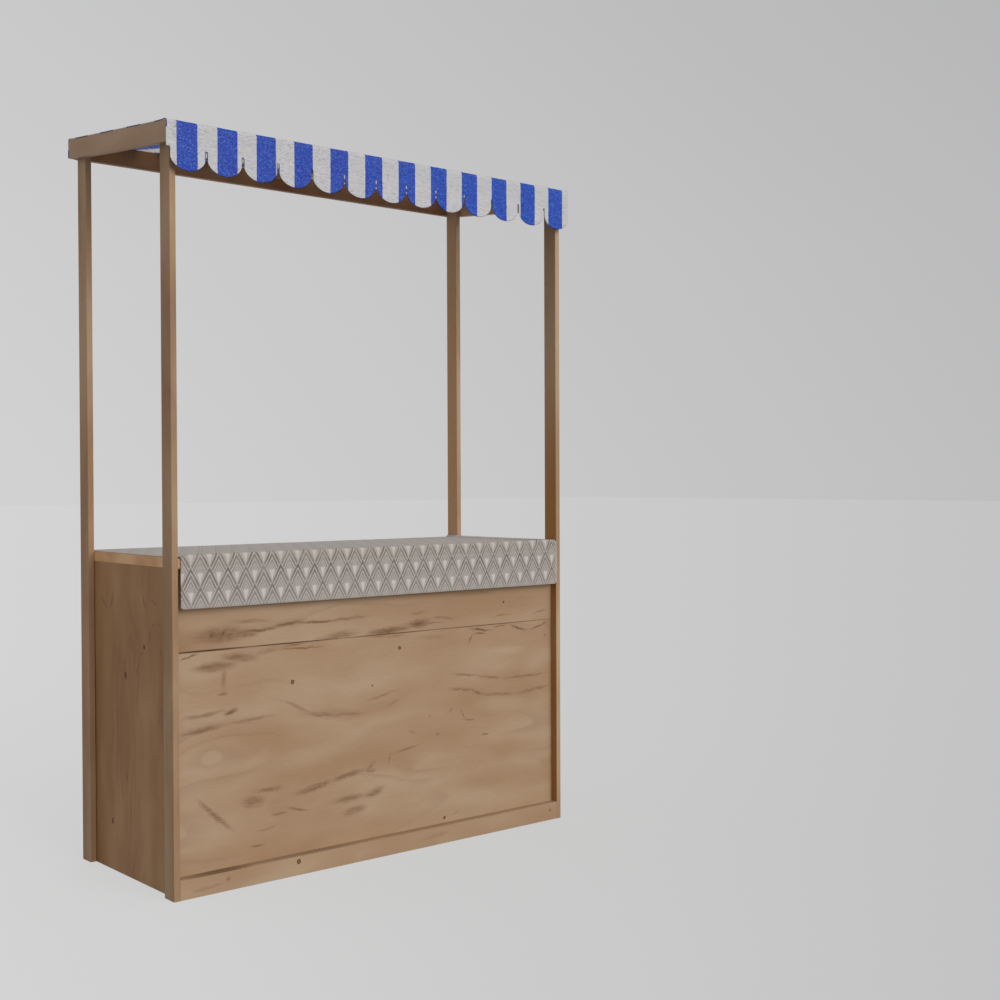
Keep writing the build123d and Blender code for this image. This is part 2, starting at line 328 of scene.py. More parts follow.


# figure of the front boards and the end walls, set where the real boards have it, in mm; a few marks are painted shade
# and painted light, as noted
frontFigure = {
    "streaks": [
        (-545, 695, 95, 24, 0, 0.75), (-470, 693, 60, 14, 3, 0.7), (-420, 700, 80, 7, 3, 0.95),
        (-330, 710, 60, 6, 4, 0.95), (-235, 709, 90, 5, -1, 1.0), (-120, 712, 80, 6, 2, 0.75),
        (-450, 725, 80, 8, -2, 0.5), (-160, 664, 90, 12, 4, 0.75), (22, 666, 95, 10, 3, 0.95),
        (135, 679, 48, 14, 3, 1.0), (150, 679, 95, 5, -2, 0.7), (22, 649, 90, 4, -2, 0.6),
        (-640, 643, 36, 4, 13, 0.95), (-490, 629, 75, 13, -8, 0.7), (-565, 610, 75, 14, 2, 0.75),
        (-395, 640, 45, 10, 10, 0.6), (-535, 575, 34, 9, 85, 0.4), (-535, 534, 20, 7, 0, 0.7),
        (-285, 640, 95, 4, -2, 0.85), (-315, 650, 44, 4, 6, 0.85), (-513, 482, 26, 10, 11, 1.0),
        (-600, 481, 85, 7, 4, 0.65), (-605, 442, 75, 9, 7, 0.8), (-450, 453, 100, 7, 4, 0.55),
        (-300, 471, 75, 7, -24, 0.45), (-225, 444, 60, 8, -8, 0.62), (-130, 432, 75, 6, -3, 0.45),
        (378, 643, 56, 5, -7, 1.0), (377, 631, 30, 5, 0, 0.9), (338, 615, 26, 5, 54, 0.9), (463, 649, 34, 3, 5, 0.95),
        (534, 638, 46, 5, -17, 1.0), (626, 637, 54, 4, 16, 0.95), (320, 506, 72, 5, -7, 0.65),
        (412, 489, 60, 6, -11, 0.7), (565, 480, 120, 6, 1, 0.65), (300, 462, 60, 7, -7, 0.7),
        (363, 446, 36, 7, -23, 0.75), (450, 430, 85, 7, -4, 0.7), (600, 432, 95, 7, 5, 0.65),
        (334, 362, 30, 4, -4, 0.75), (305, 382, 22, 5, -62, 0.55), (257, 400, 16, 5, 34, 0.5),
        (1, 476, 72, 5, 13, 0.55), (38, 449, 26, 5, 21, 0.5), (134, 712, 34, 4, 6, 0.7), (470, 682, 44, 4, 3, 0.6),
        (635, 684, 43, 4, 10, 0.5), (175, 393, 8, 5, 9, 0.5), (206, 333, 10, 5, 0, 0.6), (397, 310, 20, 4, 3, 0.8),
        (107, 352, 18, 4, -12, 0.6), (279, 79, 22, 3, 26, 0.6), (-565, 205, 85, 11, -42, 0.75),
        (-445, 224, 45, 20, -2, 0.7), (-395, 250, 65, 11, -2, 0.65), (-360, 177, 34, 4, -5, 0.9),
        (-297, 180, 40, 5, -14, 0.9), (-402, 143, 38, 4, 6, 0.85), (-240, 236, 82, 13, 10, 0.8),
        (-133, 253, 86, 11, 7, 0.75), (-120, 185, 72, 12, 2, 0.8), (-105, 147, 52, 15, 7, 0.65),
        (91, 303, 69, 5, 8, 0.65), (21, 282, 22, 5, 68, 0.55), (-50, 268, 30, 9, 41, 0.6), (-47, 255, 25, 7, -3, 0.7),
        (-36, 190, 45, 15, 13, 0.75), (235, 690, 65, 6, -2, 0.65), (-430, 101, 26, 4, -1, 0.85),
        (156, 187, 72, 8, -7, 0.85, -0.233, 0.021), (164, 145, 46, 9, -10, 0.85, -0.233, 0.021),
        (23, 64, 64, 5, 2, 0.8, -0.233, 0.021), (20, 308, 100, 14, 3, 0.7, -0.233, 0.021),
        (325, 221, 100, 7, -8, 0.55, -0.233, 0.021), (-82, 63, 34, 5, -13, 0.8, -0.233, 0.021)],
    "pale": [(480, 570, 105, 17, -1, 1.0), (-250, 330, 180, 40, 6, 0.6), (480, 400, 150, 35, -3, 0.6)],
    "stains": [
        (-540, 695, 105, 30, 0, 0.42), (-465, 695, 62, 18, 3, 0.35), (-560, 611, 75, 20, 2, 0.4),
        (-478, 630, 66, 19, -6, 0.35), (22, 667, 105, 14, 3, 0.42), (135, 679, 52, 17, 3, 0.5),
        (-533, 580, 46, 12, 88, 0.22), (-330, 712, 120, 14, 2, 0.25), (-180, 440, 150, 18, -6, 0.22),
        (-600, 445, 90, 16, 6, 0.22), (183, 633, 75, 11, -3, 0.25), (350, 760, 100, 9, 0, 0.3)],
    "knots": [
        (-315, 545, 8, 8, 0, 1.0), (-571, 696, 9, 8, 0, 0.34), (-535, 700, 7, 8, 0, 0.38), (62, 611, 7, 7, 0, 0.9),
        (475, 724, 5, 5, 0, 0.85), (654, 606, 8, 8, 0, 0.3), (-39, 507, 4, 4, 0, 0.8), (231, 71, 6, 7, 0, 0.9),
        (378, 643, 42, 3.5, -7, 0.34), (377, 631, 22, 3.5, 0, 0.26), (534, 638, 36, 3, -17, 0.3),
        (626, 637, 40, 3, 16, 0.26), (463, 649, 24, 2.5, 5, 0.22), (135, 679, 28, 7, 3, 0.3),
        (-151, 68, 10, 10, 0, 0.95, -0.233, 0.021)],
    "lines": [
        (-580, 656, 200, 3.8, 0, 1.0), (-330, 656, 210, 2.8, 0, 0.95), (30, 656, 230, 2.6, 0, 0.8),
        (400, 656, 330, 1.9, 0, 0.8)],
}
endWallFigureAndShade = {
    "plane": "X",
    "streaks": [
        (-182, 653, 18, 4, 60, 0.85), (-77, 842, 42, 4, 89, 0.6), (-88, 783, 28, 4, 67, 0.65),
        (-121, 839, 46, 4, 84, 0.55), (-147, 783, 30, 4, 35, 0.5), (-116, 689, 27, 4, -71, 0.5),
        (-142, 723, 20, 4, -26, 0.45), (-174, 728, 15, 4, 14, 0.45), (-44, 596, 42, 4, -69, 0.5),
        (-73, 640, 16, 4, -19, 0.45), (116, 774, 36, 7, -62, 0.55), (170, 766, 34, 6, 44, 0.5),
        (6, 590, 55, 4, 88, 0.38), (6, 180, 130, 6, -86, 0.48), (29, 280, 28, 8, 84, 0.4), (-72, 17, 18, 6, -79, 0.4),
        (-47, 560, 95, 5, -82, 0.35), (80, 420, 160, 9, 89, 0.3)],
    "knots": [
        (31, 568, 10, 14, 0, 0.85), (-85, 658, 8, 10, 0, 0.75), (120, 140, 8, 12, 0, 0.8), (-205, 275, 6, 8, 0, 0.5),
        (283, 207, 8, 6, 0, 0.9, -0.669, 0.006), (283, 59, 8, 9, 0, 0.8, -0.676, 0.006)],
    # the dark line beside the back post is painted shade in the corner where the board meets the post
    "lines": [(229.5, 440, 2.8, 760, 0, 0.95)],
}
innerWallFigureAndLight = {
    "plane": "X",
    "knots": [(252, 289, 6, 10, 0, 0.85), (188, 90, 6, 18, 0, 0.85)],
    # the pale patch low down near the back is painted light, where light falls on the inner wall
    "pale": [(200, 150, 190, 260, 0, 0.9)],
}
kickFigureAndShade = {
    "streaks": [(180, 30, 60, 8, 2, 0.35), (-600, 20, 60, 6, 4, 0.35)],
    "knots": [(-313, 39, 9, 9, 0, 0.95), (-538, 32, 14, 10, 0, 0.3), (653, 32, 9, 6, 0, 0.4)],
    # the dark line along the kick's top edge is partly the glue line of its joint and partly painted shade
    "lines": [(-560, 54.6, 150, 2.6, 0, 0.85), (-260, 54.8, 300, 1.9, 0, 0.55), (250, 54.8, 500, 1.6, 0, 0.42)],
}
# the right posts' inner faces have a redder edge, and the front one gets painted shade that darkens it towards the
# canopy
backInnerFace = {"lines": [(682, 1000, 2.5, 3000, 0, 0.85)]}
frontInnerFace = {
    "lines": [(682, 200, 2.5, 900, 0, 0.85), (682, 900, 2.5, 700, 0, 0.85)],
    "shades": [(682, 2050, 2.5, 700, 0, 0.55)],
}
shelfFigure = {
    "streaks": [
        (515, 440, 90, 7, 8, 0.95), (380, 446, 70, 8, -10, 0.95), (176, 444, 110, 7, 4, 0.9),
        (-20, 442, 90, 7, -3, 0.9), (-300, 446, 90, 8, 3, 0.9), (-480, 445, 80, 8, 3, 0.9)],
    "lines": [
        (457, 467.5, 230, 1.8, 0, 0.85), (-100, 467.5, 520, 1.5, 0, 0.55), (455, 441, 40, 1.4, 12, 0.8),
        (395, 446, 36, 1.3, -16, 0.8), (225, 438.5, 60, 1.8, 2, 0.9), (90, 438.5, 70, 1.5, 0, 0.7)],
}
frontRailFigure = {"knots": [(-290, 2047, 9, 6, 0, 0.6)], "streaks": [(-290, 2040, 20, 10, 30, 0.6)]}

wallMarks = {"line": "#66432A", "knot": "#5A2F14", "core": "#6E4520"}
toneSets = {
    "frontBoard": {"innerFrom": -0.24, "markFace": (-0.26, 0.021)},
    # the left end wall is toned darker and warmer than the front boards: painted shade, as that side faces away from
    # the light
    "endWall": {"board": ("#A78058", "#9D744D", "#926943"), **wallMarks},
    "endWallRight": {"board": ("#C69D70", "#B68C60", "#A98054"), **wallMarks},
    "post": {"board": ("#AB8B6A", "#A48262", "#987556"), "wildKnots": 0.35},
    "postFrontLeft": {"board": ("#A88A68", "#A08061", "#947354"), "wildKnots": 0.35},
    # on the front right post the stain colour only tints the painted shade at the top of its inner face
    "postFrontRight": {"board": ("#B4987A", "#AC8F70", "#A08162"), "seam": "#9A662E", "stainAndShade": "#805A2E",
                       "wildKnots": 0.35},
    "postBackRight": {"board": ("#B49A7F", "#AD9175", "#A08366"), "seam": "#BA8D61", "wildKnots": 0.35},
    "sideRail": {"board": ("#B5967D", "#AF8F75", "#A58469"), "ringStrength": 0.08, "wildKnots": 0.1},
    "rightRail": {"board": ("#CBA06E", "#C29664", "#B48858"), "ringStrength": 0.12, "wildKnots": 0.1},
    "frontRail": {"board": ("#AD804D", "#A37543", "#956839"), "wildKnots": 0.15},
    "backRail": {"board": ("#A67A52", "#9D7148", "#8F653F"), "wildKnots": 0.15},
    "pale": {"board": ("#D8AB7C", "#CD9E70", "#BC8E62"), "wildKnots": 0.2},
    "shelf": {"board": ("#B8946D", "#AD8861", "#9B7650"), "wildKnots": 0.3},
}
# grain, where the pattern starts, tones and figure
timbers = {
    "front_board_lower": ("X", (0.0, 0.0, 0.0), "frontBoard", frontFigure),
    "front_board_upper": ("X", (0.4, 0.0, 0.2), "frontBoard", frontFigure),
    "side_board_left": ("Z", (3.1, 0.5, 0.0), "endWall", endWallFigureAndShade),
    "side_board_right": ("Z", (5.3, 0.9, 0.4), "endWallRight", innerWallFigureAndLight),
    "kick_rail": ("X", (2.2, 0.3, 0.9), None, kickFigureAndShade),
    "counter_top": ("X", (1.5, 2.1, 0.2), "pale"),
    "storage_shelf": ("X", (4.6, 1.2, 0.6), "shelf", shelfFigure),
    "post_front_left": ("Z", (1.1, 0.2, 0.1), "postFrontLeft"),
    "post_front_right": ("Z", (2.3, 0.7, 0.3), "postFrontRight", frontInnerFace),
    "post_back_left": ("Z", (3.9, 1.2, 0.5), "post"),
    "post_back_right": ("Z", (4.4, 1.9, 0.8), "postBackRight", backInnerFace),
    "canopy_rail_front": ("X", (6.1, 0.4, 0.3), "frontRail", frontRailFigure),
    "canopy_rail_back": ("X", (7.7, 0.9, 0.6), "backRail"),
    "canopy_rail_left": ("Y", (8.2, 1.4, 0.9), "sideRail"),
    "canopy_rail_right": ("Y", (9.5, 1.8, 0.1), "rightRail"),
    "canopy_batten": ("Y", (1.8, 2.6, 0.7), "pale"),
}
for node, row in timbers.items():
    wood = oiledPine("oiledPine_" + node, *row)
    nodes[node].data.materials.clear()
    nodes[node].data.materials.append(wood)
print("timber materials:", len(timbers))


# the canopy cloth

canopy = {
    "halfWidth": 0.718, "railFace": 0.303, "frontTop": 2.058, "rise": 0.06,
    "faceOffset": 0.003, "cornerOffset": 0.0035, "roofOffset": 0.0012, "settle": 0.02, "cornerRadius": 0.009,
    "thickness": 0.0012, "sag": 0.009, "creaseHeight": 0.0007, "wave": 0.0016, "freeReach": 0.06,
    "hemDrop": 0.053, "railDrop": 0.056, "valanceDrop": 0.127, "scallops": 13, "scallopDepth": 0.04, "shift": 0.006,
    "slotWidth": 0.005, "slotLength": 0.02, "railWidth": 0.018, "battenHalf": 0.03, "sideRailFrom": 0.7,
    "stripe": 0.1202, "firstStripe": 0.0287, "blueShare": 0.507, "lightThrough": 0.7, "valanceThrough": 0.3,
    "rim": 0.0026, "fadedFrom": 0.5, "fullUpTo": -0.25, "fadedLeast": 0.3,
    "valanceTone": (0.84, 0.83, 0.855, 1.0),
    "valanceBlue": (0.05, 0.29, 0.75, 1.0), "valanceBlueRight": (0.13, 0.46, 0.86, 1.0),
    "roofThrough": (2.3, 1.4, 0.84, 1.0),
    "valanceBlueThrough": (0.1, 0.18, 0.3, 1.0), "valanceWhiteThrough": (0.86, 0.79, 0.77, 1.0),
}


def roofHeight(y):
    return canopy["frontTop"] + canopy["rise"] * (y + canopy["railFace"]) / (2 * canopy["railFace"])


def arc(y, z, radius, first, last, steps=6):
    # a rounded fold, as rows of (y, z, outward y, outward z)
    angles = [mix(first, last, i / steps) for i in range(steps + 1)]
    return [(y + radius * math.cos(a), z + radius * math.sin(a), math.cos(a), math.sin(a)) for a in angles]


def runningLengths(rows):
    lengths = [0.0]
    for (y0, z0, *_), (y1, z1, *_) in zip(rows, rows[1:]):
        lengths.append(lengths[-1] + math.hypot(y1 - y0, z1 - z0))
    return lengths


def canopyProfile():
    # rows of (y, z, outward y, outward z), from the hem over the back rail to the slots of the valance
    radius, face = canopy["cornerRadius"], canopy["railFace"]
    slope = math.atan(canopy["rise"] / (2 * face))
    square = math.pi / 2 + slope
    hemSteps, roofSteps, fallSteps = 9, 96, 17
    yCentre = face + canopy["faceOffset"] - radius
    zBack = roofHeight(yCentre) + (canopy["cornerOffset"] - radius) / math.cos(slope)
    zFront = roofHeight(-yCentre) + (canopy["cornerOffset"] - radius) / math.cos(slope)
    hemLow = roofHeight(face) - canopy["hemDrop"]
    rows = [(yCentre + radius, mix(hemLow, zBack, i / hemSteps), 1.0, 0.0) for i in range(hemSteps)]
    rows += arc(yCentre, zBack, radius, 0.0, square)
    yHigh, yLow = rows[-1][0], -yCentre - radius * math.sin(slope)
    for i in range(1, roofSteps):
        y = mix(yHigh, yLow, i / roofSteps)
        inward = min(yHigh - y, y - yLow)
        offset = mix(canopy["roofOffset"], canopy["cornerOffset"], math.exp(-inward / canopy["settle"]))
        rows.append((y, roofHeight(y) + offset / math.cos(slope), -math.sin(slope), math.cos(slope)))
    rows += arc(-yCentre, zFront, radius, square, math.pi)
    slotTop = canopy["frontTop"] - canopy["valanceDrop"] + canopy["scallopDepth"] + canopy["slotLength"]
    rows += [(-yCentre - radius, mix(zFront, slotTop, i / fallSteps), -1.0, 0.0) for i in range(1, fallSteps + 1)]
    return rows


def canopyColumns():
    # x of every column, with the lobe it belongs to, or None beside and between the lobes
    half, width = canopy["halfWidth"], canopy["slotWidth"]
    pitch = 2 * half / canopy["scallops"]
    lobe = (pitch - width) / 2
    columns = [(-half, None), (-half + canopy["shift"] / 2, None)]
    middles = []
    for k in range(canopy["scallops"]):
        middle = -half + canopy["shift"] + (k + 0.5) * pitch
        middles.append(middle)
        columns.append((middle - lobe - width / 2, None))
        steps = 22
        for i in range(steps + 1):
            x = middle - lobe * math.cos(math.pi * i / steps)
            if x < half - 1e-4:
                columns.append((x, k))
        if middle + lobe >= half:
            columns.append((half, k))
    return columns, middles, lobe


def sagAt(x, y):
    # the roof hangs a little between the rails and the batten
    inner, first, last = canopy["railFace"] - canopy["railWidth"], canopy["battenHalf"], canopy["sideRailFrom"]
    if abs(y) >= inner or not first < abs(x) < last:
        return 0.0
    span = (abs(x) - first) / (last - first)
    return canopy["sag"] * (1 - (y / inner) ** 2) * min(1.0, 4 * span * (1 - span)) ** 0.6


def crease(x, along):
    # fine creases, longer across the cloth than along it
    first = noise.noise(Vector((x * 55, along * 150, 3.7)))
    second = noise.noise(Vector((x * 16, along * 46, 9.1)))
    return canopy["creaseHeight"] * (0.55 * first + 0.9 * second)


def buildCanopyCloth(material):
    rows = canopyProfile()
    columns, middles, lobe = canopyColumns()
    half, railLow = canopy["halfWidth"], canopy["frontTop"] - canopy["railDrop"]
    lengths = runningLengths(rows)
    verts, uvs, rims, faces = [], [], [], []

    def addPoint(x, y, z, outY, outZ, along, rim=0.0):
        rise = crease(x, along)
        if y < -canopy["railFace"] and z < railLow:
            # below the rail the valance hangs free and stands in slow waves
            free = min(1.0, (railLow - z) / canopy["freeReach"])
            rise += canopy["wave"] * free * noise.noise(Vector((x * 21, z * 6, 2.2)))
        verts.append((x, y + outY * rise, z + outZ * rise))
        uvs.append((x + half, along))
        rims.append(rim)
        return len(verts) - 1

    grid = []
    for r, (y, z, outY, outZ) in enumerate(rows):
        line = []
        for x, _ in columns:
            dip = sagAt(x, y) if outZ > 0.9 else 0.0
            line.append(addPoint(x, y, z - dip, outY, outZ, lengths[r]))
        grid.append(line)
    for upper, lower in zip(grid, grid[1:]):
        for c in range(len(columns) - 1):
            faces.append((upper[c], upper[c + 1], lower[c + 1], lower[c]))
    # the lobes hang below the slots' tops
    yFace, zTop = rows[-1][:2]
    for k, middle in enumerate(middles):
        members = [c for c, (_, owner) in enumerate(columns) if owner == k]
        above = [grid[-1][c] for c in members]
        steps = 15
        for i in range(1, steps + 1):
            line = []
            for c in members:
                x = columns[c][0]
                share = min(1.0, abs(x - middle) / lobe)
                drop = canopy["slotLength"] + canopy["scallopDepth"] * math.sqrt(max(0.0, 1 - share * share))
                fall = drop if i == steps else (drop - canopy["rim"]) * i / (steps - 1)
                rim = max(1 - (1 - share) * lobe / canopy["rim"], 1.0 if i == steps else 0.0, 0.0)
                line.append(addPoint(x, yFace, zTop - fall, -1.0, 0.0, lengths[-1] + fall, rim))
            for c in range(len(members) - 1):
                faces.append((above[c], above[c + 1], line[c + 1], line[c]))
            above = line
    cloth = meshPiece("striped_canopy_cloth", verts, faces, material, uvs, canopy["thickness"])
    cloth.data.attributes.new("rim", "FLOAT", "POINT").data.foreach_set("value", rims)
    area = sum(face.area for face in cloth.data.polygons)
    finishPiece(cloth, "striped_awning_cloth", "canopy_cloth_roof", "canopy_cloth_valance", "canopy_cloth_back_hem")
    return cloth, rows, lengths, area


def wovenTarpaulin(name):
    # polyethylene tarpaulin: flat tapes woven and coated, so it is stiff, full of fine creases, a little glossy
    # and thin enough that daylight shows through
    material, add = emptyMaterial(name)
    where = add("UVMap", {"uv_map": "cloth"})
    split = add("SeparateXYZ", inputs=[where])
    wobble = add("TexNoise", inputs={"Vector": where, "Scale": 160.0, "Detail": 1.0})
    shifted = add("Math", "MULTIPLY_ADD", [wobble, 0.0012, (split, "X")])
    repeats = add("Math", "MULTIPLY_ADD",
                  [shifted, 1 / canopy["stripe"], -(canopy["firstStripe"] + 0.0006) / canopy["stripe"]])
    isBlue = add("Math", "LESS_THAN", [add("Math", "FRACT", [repeats]), canopy["blueShare"]])
    patterns = {}
    # width and length of one repeat in metres, lean, detail, distortion
    for label, width, length, lean, detail, bend in (("creases", 0.016, 0.0038, 0.0, 4.0, 0.7),
                                                     ("strokes", 0.0038, 0.011, 0.85, 2.0, 0.5),
                                                     ("specks", 0.0029, 0.0066, 0.85, 1.0, 0.0),
                                                     ("folds", 0.042, 0.011, 0.25, 2.0, 1.2)):
        spread = add("Mapping", {"vector_type": "TEXTURE"},
                     {"Vector": where, "Scale": (width, length, 1.0), "Rotation": (0.0, 0.0, lean)})
        patterns[label] = add("TexNoise", inputs={"Vector": spread, "Scale": 1.0, "Detail": detail, "Roughness": 0.55,
                              "Distortion": bend})
    # the blue gets light diagonal strokes: painted glints of its glossy coat
    blue = add("ValToRGB", inputs=[patterns["strokes"]],
               stops=[(0.34, "#365ECC"), (0.46, "#4672DC"), (0.56, "#5E8CEA"), (0.68, "#B4CCFA")])
    # painted glints: light specks on the blue, gathered in patches along the folds
    foldPatches = add("MapRange", "SMOOTHSTEP", [patterns["folds"], 0.4, 0.58, 0.25, 1.0])
    glintSpots = add("MapRange", "SMOOTHSTEP", [patterns["specks"], 0.54, 0.67, 0.0, 0.42])
    # towards the right end the painted glints, the painted crease shade and the painted shade on the cut edges fade,
    # and the blue is lighter
    place = add("TexCoord")
    depthwise = add("SeparateXYZ", inputs=[(place, "Object")])
    leftStrength = add("MapRange", "SMOOTHSTEP", [(depthwise, "X"), canopy["fadedFrom"], canopy["fullUpTo"], canopy["fadedLeast"]])
    glint = add("Math", "MULTIPLY", [add("Math", "MULTIPLY", [glintSpots, foldPatches]), leftStrength])
    # the white greys in its creases: painted crease shade
    creaseShaded = add("ValToRGB", inputs=[patterns["creases"]],
                  stops=[(0.29, "#B9B9B8"), (0.42, "#EDEDEC"), (0.68, "#FAFAF9")])
    white = add("Mix", "RGBA", [leftStrength, toLinear("#F4F4F3"), creaseShaded])
    # the valance and the back hem are a second layer, sewn over the roof's edges: darker, and they pass less light
    onRoof = add("MapRange", inputs=[add("Math", "ABSOLUTE", [(depthwise, "Y")]), 0.304, 0.3])
    behind = add("MapRange", inputs=[(depthwise, "Y"), -0.304, -0.3])
    whiteTone = add("Mix", "RGBA", [behind, canopy["valanceTone"], noTint])
    blueAcross = add("Mix", "RGBA", [leftStrength, canopy["valanceBlueRight"], canopy["valanceBlue"]])
    blueTone = add("Mix", "RGBA", [onRoof, blueAcross, noTint])
    whiteLaid = add("VectorMath", "MULTIPLY", [white, whiteTone])
    blueLaid = add("VectorMath", "MULTIPLY", [blue, blueTone])
    glinted = add("Mix", "RGBA", [glint, blueLaid, toLinear("#A9BEF0")])
    cloth = add("Mix", "RGBA", [isBlue, whiteLaid, glinted])
    # darker where the folds lie low: painted fold shade
    foldShade = add("MapRange", "SMOOTHSTEP", [patterns["folds"], 0.3, 0.48, 0.95, 1.0])
    # a dark line along the cut edges of the scallops and slots: painted shade at the edges and of the dark seen through
    # the slots
    rim = add("Attribute", {"attribute_name": "rim"})
    rimShare = add("MapRange", "SMOOTHSTEP", [(rim, "Fac"), 0.15, 0.45, 0.0, 0.92])
    rimShade = add("Math", "MULTIPLY", [rimShare, leftStrength])
    edged = add("Mix", "RGBA", [rimShade, cloth, toLinear("#1E2645")])
    toned = add("VectorMath", "SCALE", {0: edged, "Scale": foldShade})
    height = add("Math", "ADD", [patterns["creases"], patterns["strokes"]])
    raised = add("Math", "MULTIPLY_ADD", [patterns["folds"], 2.0, height])
    relief = add("Bump", inputs={"Height": raised, "Strength": 0.9, "Distance": 0.0014})
    gloss = add("MapRange", inputs=[patterns["strokes"], 0.3, 0.7, 0.36, 0.52])
    coated = add("BsdfPrincipled", inputs={"Base Color": toned, "Roughness": gloss, "Normal": relief, "IOR": 1.5})
    # against the light the white greys a little and the blue turns violet, or nearly black where it is doubled
    whitePass = add("Mix", "RGBA", [onRoof, canopy["valanceWhiteThrough"], noTint])
    bluePass = add("Mix", "RGBA", [onRoof, canopy["valanceBlueThrough"], canopy["roofThrough"]])
    passTone = add("Mix", "RGBA", [isBlue, whitePass, bluePass])
    passed = add("VectorMath", "MULTIPLY", [toned, passTone])
    through = add("BsdfTranslucent", inputs={"Color": passed, "Normal": relief})
    share = add("MapRange", inputs=[onRoof, 0.0, 1.0, canopy["valanceThrough"], canopy["lightThrough"]])
    shader = add("MixShader", inputs=[share, coated, through])
    add("OutputMaterial", inputs=[shader])
    return material


tarpaulin = wovenTarpaulin("wovenTarpaulin")
canopyCloth, canopyRows, canopyLengths, canopyArea = buildCanopyCloth(tarpaulin)
print("canopy cloth:", len(canopyCloth.data.polygons), "faces")


# the tape that binds both sides of the canopy cloth, with its stripes across

tape = {"radius": 0.0015, "sides": 10, "repeat": 0.166, "unevenness": 0.0006, "stripeFrom": -0.237}


def pathObject(name, points):
    curve = bpy.data.curves.new(name, "CURVE")
    curve.dimensions = "3D"
    spline = curve.splines.new("POLY")
    spline.points.add(len(points) - 1)
    for target, point in zip(spline.points, points):
        target.co = (*point, 1.0)
    holder = bpy.data.objects.new(name, curve)
    scene.collection.objects.link(holder)
    return holder


def bake(holder, tree, inputs, name):
    # runs a geometry tree on an object and keeps the result as a plain mesh piece
    modifier = holder.modifiers.new("shape", "NODES")
    modifier.node_group = tree
    for item in tree.interface.items_tree:
        if item.in_out == "INPUT" and item.name in inputs:
            modifier[item.identifier] = inputs[item.name]
    depsgraph = bpy.context.evaluated_depsgraph_get()
    mesh = bpy.data.meshes.new_from_object(holder.evaluated_get(depsgraph), depsgraph=depsgraph)
    mesh.name = name
    bpy.data.objects.remove(holder)
    piece = bpy.data.objects.new(name, mesh)
    scene.collection.objects.link(piece)
    return piece


def makeTapeTree():
    inputs = {"Geometry": "Geometry", "Radius": "Float", "Unevenness": "Float", "Material": "Material"}
    tree, add = emptyGroup("boundEdge", "GeometryNodeTree", inputs, {"Geometry": "Geometry"})
    entry = add("NodeGroupInput")
    ring = add("GeometryNodeCurvePrimitiveCircle", inputs={"Resolution": tape["sides"], "Radius": (entry, "Radius")})
    along = add("GeometryNodeSplineParameter")
    stored = add("GeometryNodeStoreNamedAttribute", {"data_type": "FLOAT", "domain": "POINT"},
                 {"Geometry": (entry, "Geometry"), "Value": (along, "Length"), "Name": "along"})
    # the folded edge is pulled a little in and out between its stitches
    pull = add("TexNoise", inputs={"Scale": 70.0, "Detail": 1.0})
    centred = add("VectorMath", "SUBTRACT", [(pull, "Color"), noiseMean])
    pulled = add("VectorMath", "SCALE", {0: centred, "Scale": (entry, "Unevenness")})
    uneven = add("GeometryNodeSetPosition", inputs={"Geometry": stored, "Offset": pulled})
    tube = add("GeometryNodeCurveToMesh", inputs={"Curve": uneven, "Profile Curve": ring, "Fill Caps": True})
    smooth = add("GeometryNodeSetShadeSmooth", inputs={"Geometry": tube})
    real = add("GeometryNodeRealizeInstances", inputs={"Geometry": smooth})
    coloured = add("GeometryNodeSetMaterial", inputs={"Geometry": real, "Material": (entry, "Material")})
    add("NodeGroupOutput", inputs={"Geometry": coloured})
    return tree


def crossStripedTape(name, start):
    # the same cloth cut crossways and folded double, so its stripes lie across the edge and no light comes through
    material, add = emptyMaterial(name)
    along = add("Attribute", {"attribute_name": "along"})
    repeats = add("Math", "MULTIPLY_ADD", [(along, "Fac"), 1 / tape["repeat"], -start / tape["repeat"]])
    isBlue = add("Math", "LESS_THAN", [add("Math", "FRACT", [repeats]), 0.5])
    place = add("TexCoord")
    creases = add("TexNoise", inputs={"Vector": (place, "Object"), "Scale": 300.0, "Detail": 2.0})
    colour = add("Mix", "RGBA", [isBlue, toLinear("#C8C8C6"), toLinear("#28346C")])
    relief = add("Bump", inputs={"Height": creases, "Strength": 0.4, "Distance": 0.0005})
    shader = add("BsdfPrincipled", inputs={"Base Color": colour, "Normal": relief, "Roughness": 0.45, "IOR": 1.5})
    add("OutputMaterial", inputs=[shader])
    return material


tapeTree = makeTapeTree()
frontDash = next(s for (y, *_), s in zip(canopyRows, canopyLengths) if y < tape["stripeFrom"])
tapeMaterial = crossStripedTape("crossStripedTape", frontDash)
for side, label in ((-1, "left"), (1, "right")):
    edge = [(side * canopy["halfWidth"], y, z) for y, z, *_ in canopyRows]
    if side > 0:
        # the right tape ends at the front corner, above the valance
        edge = [point for point in edge if point[1] > -canopy["railFace"]]
    bound = bake(pathObject("edgePath", edge), tapeTree,
                 {"Radius": tape["radius"], "Unevenness": tape["unevenness"], "Material": tapeMaterial},
                 "canopy_edge_tape_" + label)
    finishPiece(bound, "striped_awning_cloth")


# the counter cloth

drape = {
    "left": -0.677, "right": 0.68, "counterHalf": 0.285, "counterTop": 0.91, "offset": 0.0042, "thickness": 0.0014,
    "frontLow": 0.7745, "backLow": 0.833, "frontRise": 0.0095, "flatRise": 0.0018, "foldReach": 0.03,
    "frontRadius": 0.0075, "backRadius": 0.005, "endCurl": 0.008, "curlReach": 0.01, "endReach": 0.022,
    # the ends lie flatter and drawn in, and the cloth waves slightly
    "endFlat": 0.62, "endDraw": 0.006, "endTuck": 0.0012, "ripple": 0.0005, "fine": 0.0003, "clear": 0.001,
    "standOff": 0.0007, "swing": 0.0009, "hem": 0.0032, "paleEnd": 0.0045,
    "pitch": 0.05554, "diamond": 0.1009, "phaseAcross": 0.6986, "phaseAlong": 0.0131,
    "lightThrough": 0.46, "hangingGain": (1.68, 1.75, 1.81, 1.0),
}


